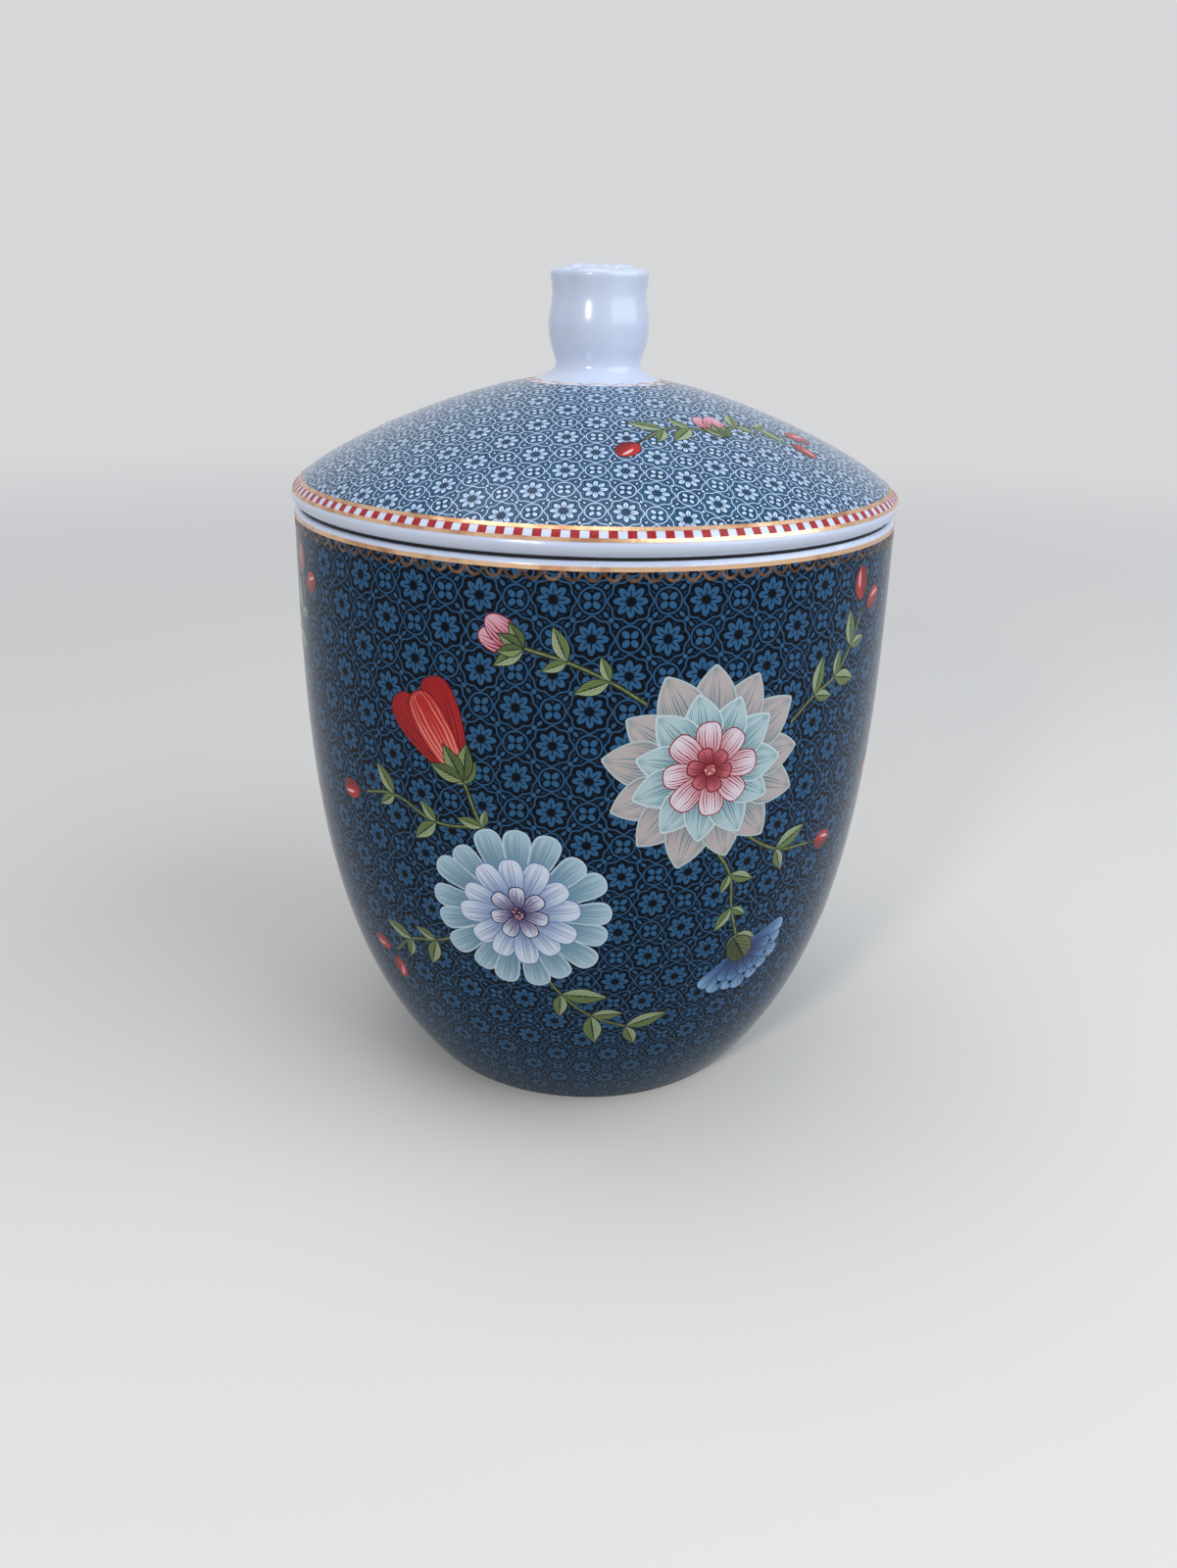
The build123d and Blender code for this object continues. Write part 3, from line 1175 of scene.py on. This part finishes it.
def greenery(sprigs, inks):
    """The stems, leaves and berries of a set of sprigs, each with its lift."""
    leaf = petal("leaf", *LEAF_SIZE, willow, inks["leaf"])
    berry = petal("berry", *BERRY_SIZE, oval, inks["berry"])
    outline = inks["stem_outline"]
    stems, leaves, berries = [], [], []
    for number, (knots, size, berry_count) in enumerate(sprigs):
        stems.append(stem(f"stem_{number}", knots, STEM_WIDTH, outline, STEM_LIFT, STEM_DEPTH))
        stems.append(stem(f"core_{number}", knots, CORE_WIDTH, inks["stem"], CORE_LIFT, CORE_DEPTH))
        leafy = len(knots) - 1 if berry_count else len(knots)
        for index in range(1, leafy):
            side = 1 if index % 2 else -1
            way = heading(knots, index)
            for turn, share in ((side * 48, 1.0), (side * -42, 0.72)):
                copy = copy_of(leaf, f"leaf_{number}_{index}")
                leaves.append(moved(copy, *knots[index], way + turn, LEAF_LIFT, size * share))
        x, y = knots[-1]
        for count in range(berry_count):
            turn = heading(knots, len(knots) - 1) + (count - (berry_count - 1) / 2) * BERRY_SPREAD
            across = -sin(radians(turn)) * STALK
            up = cos(radians(turn)) * STALK
            stalk = [(x + across * share, y + up * share) for share in (0, 0.5, 1)]
            name = f"stalk_{number}_{count}"
            stems.append(stem(name, stalk, STALK_WIDTH, outline, STEM_LIFT, STEM_DEPTH))
            copy = copy_of(berry, f"berry_{number}_{count}")
            place = (x + across * 0.9, y + up * 0.9, turn)
            berries.append(moved(copy, *place, BERRY_LIFT, 0.9 + 0.12 * count))
    bpy.data.objects.remove(leaf)
    bpy.data.objects.remove(berry)
    return [
        (joined("stems", stems), 0),
        (joined("leaves", leaves), LEAF_LIFT),
        (joined("berries", berries), BERRY_LIFT),
    ]


def lay_patterns(patterns, places, lay, body):
    """Lays a copy of each flat pattern at every place. A lift of 0 keeps a stem as it is drawn."""
    for number, place in enumerate(places):
        for pattern, lift in patterns:
            piece = copy_of(pattern, f"{body}_{pattern.name}_{number + 1}")
            lay(moved(piece, *place))
            if lift:
                thicken(piece, lift, body)
            else:
                settle(piece, body)
    for pattern, lift in patterns:
        bpy.data.objects.remove(pattern)


def jar_bouquets(inks):
    """Equal bouquets round the jar."""
    patterns = greenery(JAR_SPRIGS, inks)
    sepal = inks["sepal"]
    for flower in (dahlia(), daisy(), tulip(sepal), cornflower(inks["cup"]), bud(sepal)):
        moved(flower, *JAR_FLOWERS[flower.name], BLOSSOM_LIFT)
        patterns.append((flower, BLOSSOM_LIFT + 4 * TIER_STEP))
    places = [(number * ROUND / BOUQUETS, 0, 0) for number in range(BOUQUETS)]
    lay_patterns(patterns, places, lay_on_jar, "jar")


def lid_sprigs(inks):
    """Small sprigs on the lid."""
    patterns = greenery(LID_SPRIGS, inks)
    flower = moved(bud(inks["sepal"]), 0, -0.5, 4, BLOSSOM_LIFT)
    patterns.append((flower, BLOSSOM_LIFT + 2 * TIER_STEP))
    lay_patterns(patterns, LID_PLACES, lay_on_lid, "lid")


# Stage, light and camera

SURROUND = (214, 215, 217)
SOFT_LIGHT = (145.43, 156.54, 178.86)
FLOOR_SIZE = 12
FLOOR_FADE = 0.8
LAMP_AIM = Vector((0, 0, 0.09))
# A lamp is its name, place, shape, size, power and colour
LAMPS = (
    ("window", (0.8, -0.4, 0.75), "SQUARE", 1.1, 7.7, (0.87, 0.93, 1.0)),
    ("ceiling", (-0.25, 0.1, 1.4), "SQUARE", 0.9, 3.8, (1.0, 0.98, 0.94)),
    ("small_lamp", (-0.47, -1.0, 0.56), "DISK", 0.17, 4.0, (1.0, 0.98, 0.95)),
)


def seen(tree):
    """1 for what the camera sees, straight, in gloss or through glass; 0 for falling light."""
    path = tree.nodes.new("ShaderNodeLightPath")
    straight = Flow(tree, path.outputs["Is Camera Ray"])
    in_gloss = Flow(tree, path.outputs["Is Glossy Ray"])
    through = Flow(tree, path.outputs["Is Transmission Ray"])
    return straight.most(in_gloss).most(through)


def floor_paint(tree):
    """Pale to the eye, and duller to the light that it throws back."""
    grain = object_place(tree).noise(3, 2)
    pale = grain.mix((242, 235, 221), (247, 240, 227))
    dull = grain.mix((150, 140, 126), (158, 148, 134))
    return {"colour": seen(tree).mix(dull, pale)}


def floor_finish():
    """A plain floor that runs out into the background."""
    material = finish_of("studio_floor", floor_paint, roughness=0.6)
    tree = material.node_tree
    away = tree.nodes.new("ShaderNodeVectorMath")
    away.operation = "LENGTH"
    plug(object_place(tree), away.inputs[0])
    fade = Flow(tree, away.outputs["Value"]).above(FLOOR_FADE, FLOOR_FADE * 0.75)
    surround = tree.nodes.new("ShaderNodeEmission")
    plug(SURROUND, surround.inputs["Color"])
    blend = tree.nodes.new("ShaderNodeMixShader")
    plug(fade * seen(tree), blend.inputs[0])
    tree.links.new(tree.nodes["Principled BSDF"].outputs[0], blend.inputs[1])
    tree.links.new(surround.outputs[0], blend.inputs[2])
    tree.links.new(blend.outputs[0], tree.nodes["Material Output"].inputs["Surface"])
    return material


def stage_and_light():
    deselect()
    bpy.ops.mesh.primitive_plane_add(size=FLOOR_SIZE)
    floor = bpy.context.object
    floor.name = "floor"
    floor.data.materials.append(floor_finish())
    world = bpy.data.worlds.new("studio")
    world.use_nodes = True
    tree = world.node_tree
    plug(seen(tree).mix(SOFT_LIGHT, SURROUND), tree.nodes["Background"].inputs["Color"])
    bpy.context.scene.world = world
    for name, place, shape, size, power, colour in LAMPS:
        bpy.ops.object.light_add(type="AREA", location=place)
        lamp = bpy.context.object
        lamp.name = name
        lamp.data.shape = shape
        lamp.data.size = size
        lamp.data.energy = power
        lamp.data.color = colour
        aim = LAMP_AIM - Vector(place)
        lamp.rotation_euler = aim.to_track_quat("-Z", "Y").to_euler()


def camera():
    """The camera, pitched down from the level and then rolled about the way it looks."""
    bpy.ops.object.camera_add()
    eye = bpy.context.object
    pitched = Matrix.Rotation(pi / 2 - CAMERA_PITCH, 4, "X")
    rolled = Matrix.Rotation(CAMERA_ROLL, 4, "Z")
    eye.matrix_world = Matrix.Translation(CAMERA_PLACE) @ pitched @ rolled
    eye.data.sensor_fit = "HORIZONTAL"
    eye.data.sensor_width = SENSOR_WIDTH
    eye.data.lens = SENSOR_WIDTH * FOCAL_PIXELS / IMAGE_WIDTH
    eye.data.clip_start = 0.01
    bpy.context.scene.camera = eye


deselect()
bpy.context.scene.view_settings.view_transform = "Standard"

porcelain = finish_of("white_glaze", white_glaze, coat=0.4, specular=0.5)
seal_painted_shade = finish_of("soft_silicone", soft_silicone)
gold = finish_of("burnished_gold", burnished_gold, metallic=1.0)
lace_gold = finish_of("bronze_lace", bronze_lace, metallic=1.0)
check_red = finish_of("check_red", plain_ink, (158, 32, 38), (184, 50, 52))

for node in ("jar_body", "lid", "knob"):
    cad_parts[node].material_slots[0].material = porcelain
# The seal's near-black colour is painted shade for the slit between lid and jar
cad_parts["seal_ring"].material_slots[0].material = seal_painted_shade

jar_grounds(finish_of("jar_ground", jar_ground, specular=0.09))
lid_grounds(finish_of("lid_ground", lid_ground, specular=0.2))
gold_line("jar_gold_line", -GOLD_LINE_FOOT, -GOLD_LINE_TOP, lay_on_jar, "jar", gold)
gold_line("lid_gold_line_lower", LID_LINE_FOOT, LID_CHECK_FOOT, lay_round_lid, "lid", gold)
gold_line("lid_gold_line_upper", LID_CHECK_TOP, LID_LINE_TOP, lay_round_lid, "lid", gold)
gold_lace(lace_gold)
check_band(check_red)
collar_arches(gold)
moulded_knob(porcelain)

inks = {
    "leaf": finish_of("leaf_green", leaf_ink, (170, 186, 142), (112, 134, 78), (34, 44, 24)),
    "sepal": finish_of("sepal_green", leaf_ink, (150, 168, 112), (92, 112, 62), (28, 36, 20)),
    "cup": finish_of("cup_green", leaf_ink, (104, 116, 70), (70, 82, 46), (20, 28, 18)),
    "stem": finish_of("stem_green", plain_ink, (96, 112, 62), (138, 152, 96)),
    "stem_outline": finish_of("stem_outline", plain_ink, (22, 30, 18), (36, 46, 26)),
    "berry": finish_of("berry_red", berry_ink, (192, 30, 34), (130, 12, 22), (78, 8, 16)),
}
jar_bouquets(inks)
lid_sprigs(inks)

stage_and_light()
camera()
